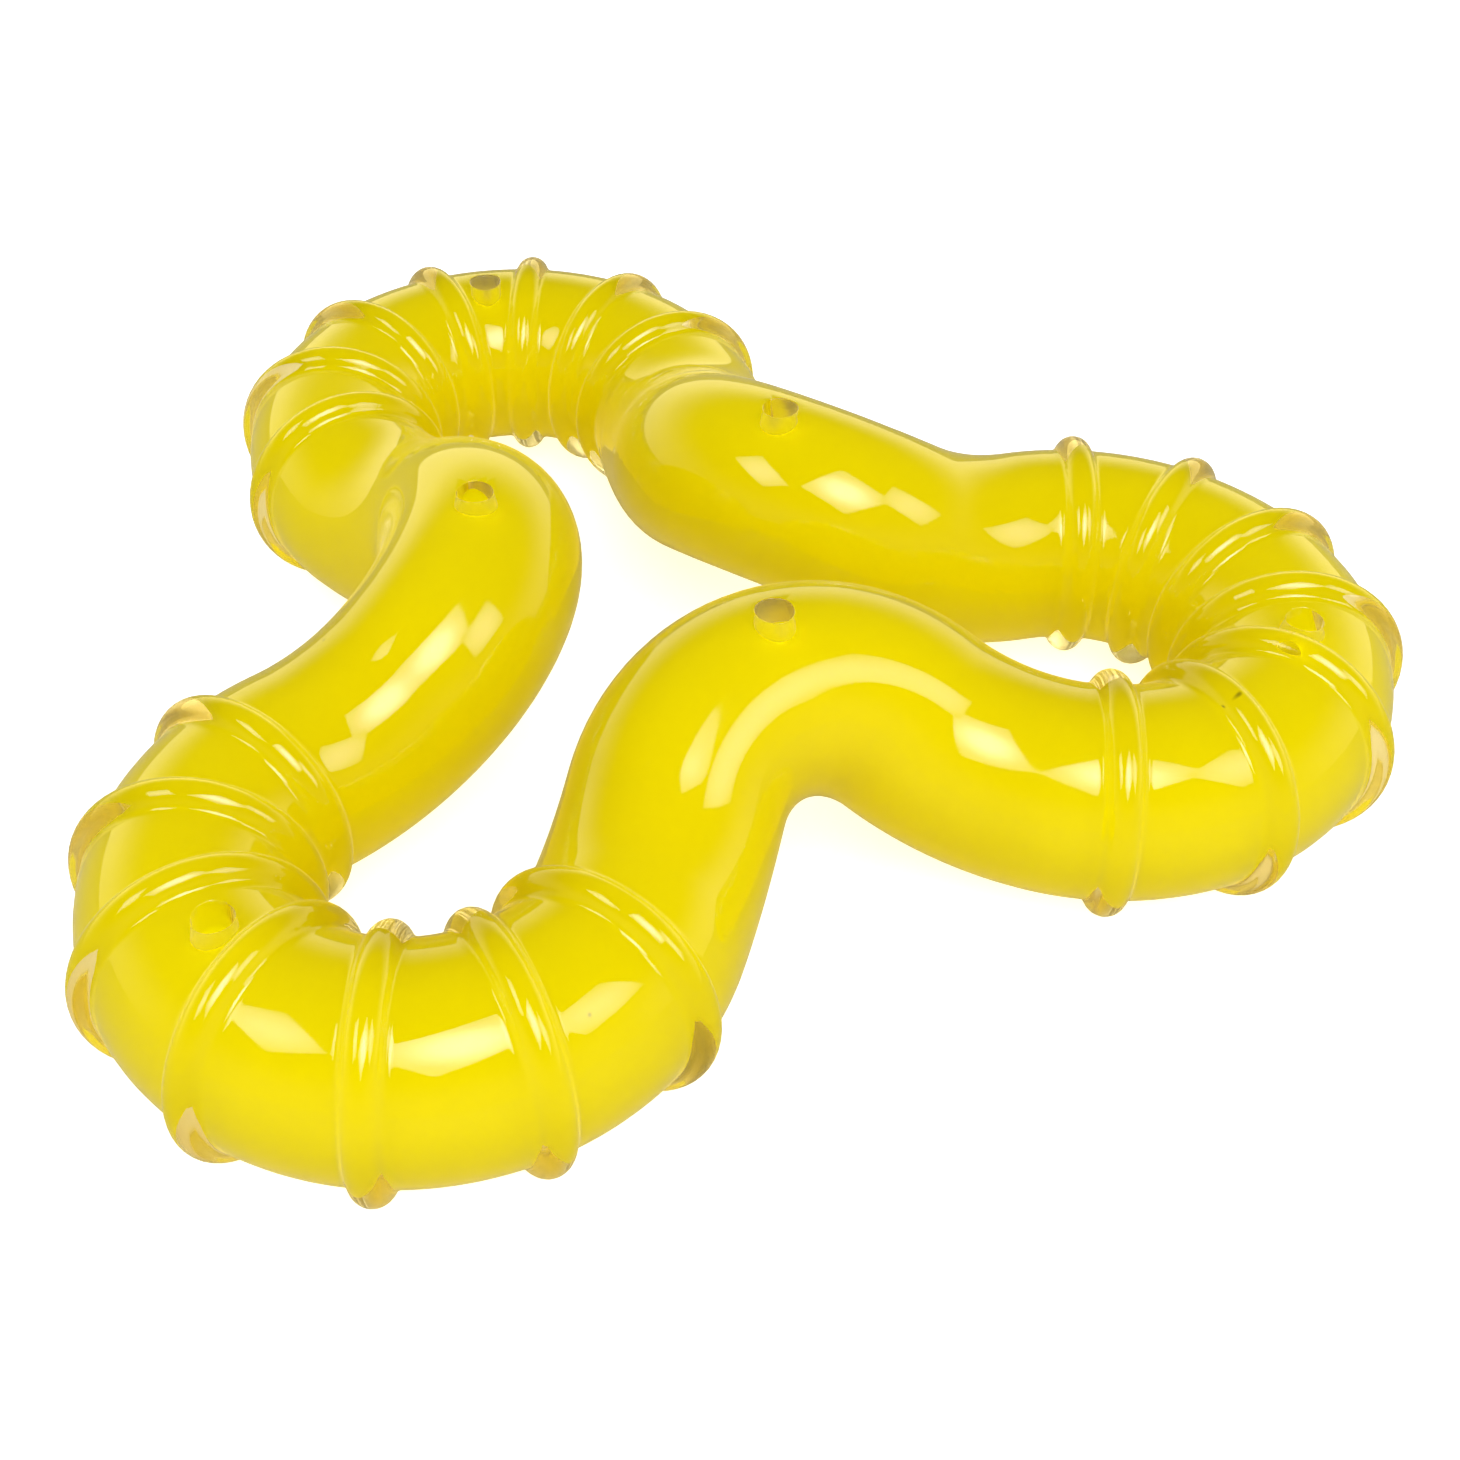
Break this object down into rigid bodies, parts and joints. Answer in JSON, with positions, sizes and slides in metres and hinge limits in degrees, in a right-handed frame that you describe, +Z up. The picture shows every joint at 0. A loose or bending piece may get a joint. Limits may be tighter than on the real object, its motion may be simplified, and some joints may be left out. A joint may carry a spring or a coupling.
{
  "type": "ribbed tug ring",
  "caption": "Closed soft bite-and-tug ring with ribbed flat lobes and smooth arched arms: an opaque core bar inside a clear moulded jacket.",
  "frame": {"origin": "where the ring's threefold axis meets the table that it rests on", "axes": "+Z up along the threefold axis; +X along the middle of the first lobe, away from the ring's centre; +Y completes a right-handed frame"},
  "size_m": [0.1669, 0.1798, 0.0394],
  "materials": {
    "core": "opaque yellow thermoplastic elastomer, smooth as moulded",
    "jacket": "clear, slightly straw-tinted thermoplastic elastomer, polished mould surface"
  },
  "bodies": {
    "root": {"core": "core", "jacket": "jacket"}
  },
  "joints": []
}
